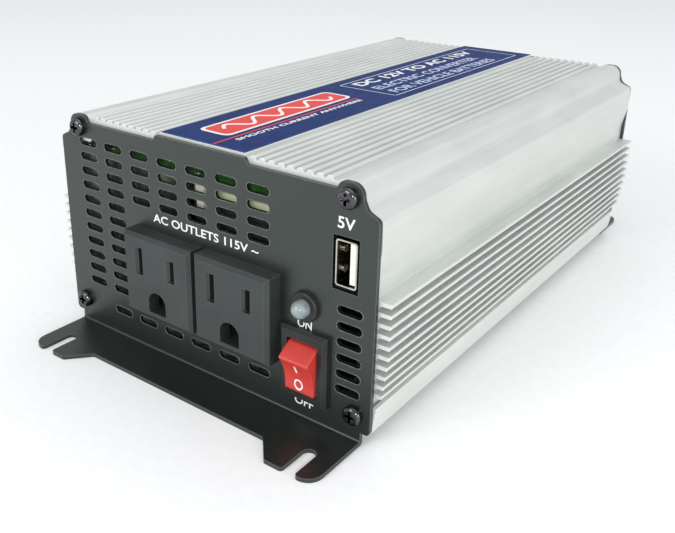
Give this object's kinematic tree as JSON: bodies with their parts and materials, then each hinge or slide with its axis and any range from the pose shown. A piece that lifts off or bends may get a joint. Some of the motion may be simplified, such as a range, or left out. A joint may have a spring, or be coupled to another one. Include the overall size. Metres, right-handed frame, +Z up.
{
  "type": "power inverter",
  "caption": "Finned aluminium box that turns battery power into mains power, with outlets, a charging socket, a lamp and a rocker switch in front, a fan and terminals behind.",
  "frame": {"origin": "on the ground under the middle of the case", "axes": "+X to the right of someone facing the outlets, +Y from the outlet panel to the rear panel, +Z up"},
  "size_m": [0.1224, 0.2258, 0.0712],
  "materials": {
    "silver_extrusion": "fine matte, lightly brushed lengthwise",
    "silver_floor": "fine matte",
    "panel_powder_coat": "fine satin powder coat",
    "label_print": "printed film",
    "black_nickel": "black nickel",
    "outlet_plastic": "matte moulded",
    "contact_brass": "satin",
    "switch_plastic": "matte moulded",
    "rocker_red": "semi gloss",
    "lamp_frosted": "frosted",
    "socket_steel": "plated",
    "socket_white": "moulded",
    "board_green": "solder mask",
    "fan_plastic": "matte moulded",
    "bright_steel": "ground",
    "winding_copper": "enamelled",
    "guard_wire": "plated wire",
    "terminal_black": "moulded",
    "knob_red": "semi gloss",
    "knob_black": "semi gloss",
    "ferrite": "matte sintered",
    "winding_tape": "yellow tape",
    "capacitor_sleeve": "shrink sleeve",
    "plain_aluminium": "mill finish",
    "choke_core_paint": "painted core",
    "chip_epoxy": "moulded epoxy",
    "fuse_plastic": "clear green",
    "film_box": "moulded box",
    "lead_insulation": "PVC",
    "lead_black": "PVC"
  },
  "bodies": {
    "case": {"housing": "silver_extrusion", "bottom_cover": "silver_floor", "front_panel": "panel_powder_coat", "rear_panel": "panel_powder_coat", "label": "label_print", "front_screws": "black_nickel", "rear_screws": "black_nickel", "outlet_left_face": "outlet_plastic", "outlet_left_cap": "outlet_plastic", "outlet_left_contacts": "contact_brass", "outlet_right_face": "outlet_plastic", "outlet_right_cap": "outlet_plastic", "outlet_right_contacts": "contact_brass", "switch_housing": "switch_plastic", "switch_terminals": "contact_brass", "switch_back": "switch_plastic", "lamp_holder": "switch_plastic", "lamp": "lamp_frosted", "socket_shell": "socket_steel", "socket_springs": "socket_steel", "socket_tongue": "socket_white", "socket_contacts": "contact_brass", "socket_board": "board_green", "fan_frame": "fan_plastic", "fan_bearing": "contact_brass", "fan_winding": "winding_copper", "fan_guard": "guard_wire", "fan_screws": "black_nickel", "red_terminal_base": "terminal_black", "red_stud": "contact_brass", "black_terminal_base": "terminal_black", "black_stud": "contact_brass", "ground_screw": "bright_steel", "main_board": "board_green", "transformer_core": "ferrite", "transformer_winding": "winding_tape", "output_connector": "socket_white", "bus_capacitor": "capacitor_sleeve", "input_capacitors": "capacitor_sleeve", "regulator_heatsink": "plain_aluminium", "choke_core": "choke_core_paint", "choke_winding": "winding_copper", "input_transistors": "chip_epoxy", "output_transistors": "chip_epoxy", "clamp_bars": "plain_aluminium", "heat_spreaders": "plain_aluminium", "fuses": "fuse_plastic", "control_board": "board_green", "film_capacitors": "film_box", "battery_leads": "lead_insulation", "outlet_leads": "lead_black", "switch_leads": "lead_black"},
    "rocker": {"rocker": "rocker_red"},
    "contact_arm": {"contact_arm": "contact_brass"},
    "fan_rotor": {"fan_rotor": "fan_plastic", "fan_shaft": "bright_steel"},
    "red_washer": {"red_washer": "bright_steel"},
    "red_knob": {"red_knob": "knob_red"},
    "black_washer": {"black_washer": "bright_steel"},
    "black_knob": {"black_knob": "knob_black"}
  },
  "joints": [
    {"name": "rocker_tilt", "type": "hinge", "parent": "case", "child": "rocker", "pos_m": [0.037, -0.09025, 0.0178], "axis": [-1, 0, 0], "range_deg": [0, 32]},
    {"name": "contact_tilt", "type": "hinge", "parent": "case", "child": "contact_arm", "pos_m": [0.037, -0.08165, 0.0178], "axis": [1, 0, 0], "range_deg": [0, 16]},
    {"name": "fan_spin", "type": "hinge", "parent": "case", "child": "fan_rotor", "pos_m": [0.022, 0.0836, 0.038], "axis": [0, 1, 0], "continuous": true},
    {"name": "red_lift", "type": "slide", "parent": "case", "child": "red_washer", "axis": [0, 1, 0], "range_m": [0, 0.004]},
    {"name": "red_turn", "type": "hinge", "parent": "red_washer", "child": "red_knob", "pos_m": [-0.018, 0.09685, 0.038], "axis": [0, 1, 0], "range_deg": [0, 1440]},
    {"name": "black_lift", "type": "slide", "parent": "case", "child": "black_washer", "axis": [0, 1, 0], "range_m": [0, 0.004]},
    {"name": "black_turn", "type": "hinge", "parent": "black_washer", "child": "black_knob", "pos_m": [-0.042, 0.09685, 0.038], "axis": [0, 1, 0], "range_deg": [0, 1440]}
  ],
  "couplings": [
    {"joint": "contact_tilt", "follows": "rocker_tilt", "ratio": 0.5},
    {"joint": "red_turn", "follows": "red_lift", "rad_per_m": 6283.2},
    {"joint": "black_turn", "follows": "black_lift", "rad_per_m": 6283.2}
  ]
}
